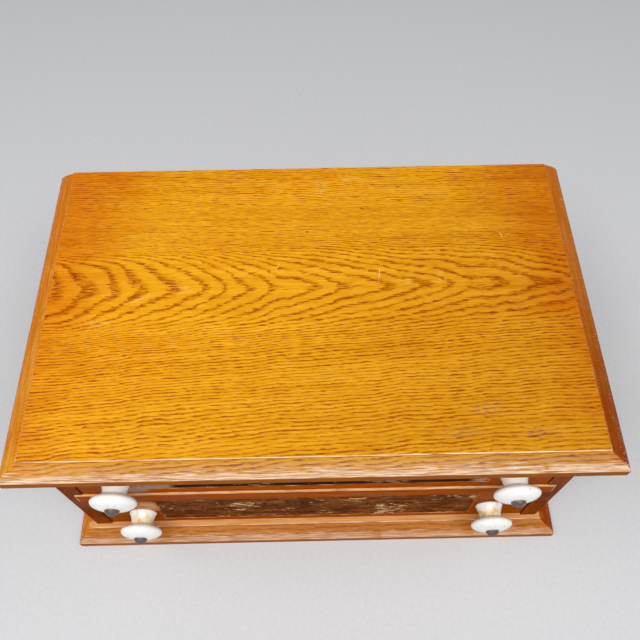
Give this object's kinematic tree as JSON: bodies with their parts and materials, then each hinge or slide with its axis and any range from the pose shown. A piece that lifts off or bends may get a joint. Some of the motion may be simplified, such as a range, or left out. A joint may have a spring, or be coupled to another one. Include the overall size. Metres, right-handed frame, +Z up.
{
  "type": "spool cabinet",
  "caption": "Low oak counter cabinet with a moulded top and base, sliding drawers with recessed label panels and porcelain knobs, fitted inside with slats for rows of thread spools.",
  "frame": {"origin": "centre of the base board's underside", "axes": "+X to the cabinet's right along its width, +Y from the drawer fronts to the back, +Z up"},
  "size_m": [0.47, 0.3059, 0.219],
  "materials": {
    "oak": "worn golden oak varnish",
    "pale_wood": "bare aged poplar",
    "porcelain": "glossy white glaze",
    "iron": "dark rubbed iron",
    "label": "dark worn paper label"
  },
  "bodies": {
    "case": {"top_board": "oak", "base_board": "oak", "left_side": "oak", "right_side": "oak", "back_panel": "pale_wood", "divider_rail": "oak", "left_runner": "pale_wood", "right_runner": "pale_wood", "rear_rail": "pale_wood", "top_dowels": "pale_wood", "base_screws": "iron", "back_nails": "iron", "lower_drawer_stops": "pale_wood", "upper_drawer_stops": "pale_wood"},
    "upper_drawer": {"upper_drawer_front": "oak", "upper_label": "label", "upper_drawer_left_side": "pale_wood", "upper_drawer_right_side": "pale_wood", "upper_drawer_back": "pale_wood", "upper_drawer_bottom": "pale_wood", "upper_drawer_nails": "iron", "upper_left_knob": "porcelain", "upper_right_knob": "porcelain", "upper_knob_bolts": "iron", "upper_knob_washers": "iron", "upper_knob_nuts": "iron", "upper_spool_slat_1": "pale_wood", "upper_spool_slat_2": "pale_wood", "upper_spool_slat_3": "pale_wood", "upper_spool_slat_4": "pale_wood", "upper_spool_slat_5": "pale_wood", "upper_spool_slat_6": "pale_wood", "upper_spool_slat_7": "pale_wood", "upper_spool_slat_8": "pale_wood", "upper_spool_slat_9": "pale_wood"},
    "lower_drawer": {"lower_drawer_front": "oak", "lower_label": "label", "lower_drawer_left_side": "pale_wood", "lower_drawer_right_side": "pale_wood", "lower_drawer_back": "pale_wood", "lower_drawer_bottom": "pale_wood", "lower_drawer_nails": "iron", "lower_left_knob": "porcelain", "lower_right_knob": "porcelain", "lower_knob_bolts": "iron", "lower_knob_washers": "iron", "lower_knob_nuts": "iron", "lower_spool_slat_1": "pale_wood", "lower_spool_slat_2": "pale_wood", "lower_spool_slat_3": "pale_wood", "lower_spool_slat_4": "pale_wood", "lower_spool_slat_5": "pale_wood", "lower_spool_slat_6": "pale_wood", "lower_spool_slat_7": "pale_wood", "lower_spool_slat_8": "pale_wood", "lower_spool_slat_9": "pale_wood"}
  },
  "joints": [
    {"name": "upper_drawer_slide", "type": "slide", "parent": "case", "child": "upper_drawer", "axis": [0, -1, 0], "range_m": [0, 0.2]},
    {"name": "lower_drawer_slide", "type": "slide", "parent": "case", "child": "lower_drawer", "axis": [0, -1, 0], "range_m": [0, 0.2]}
  ]
}
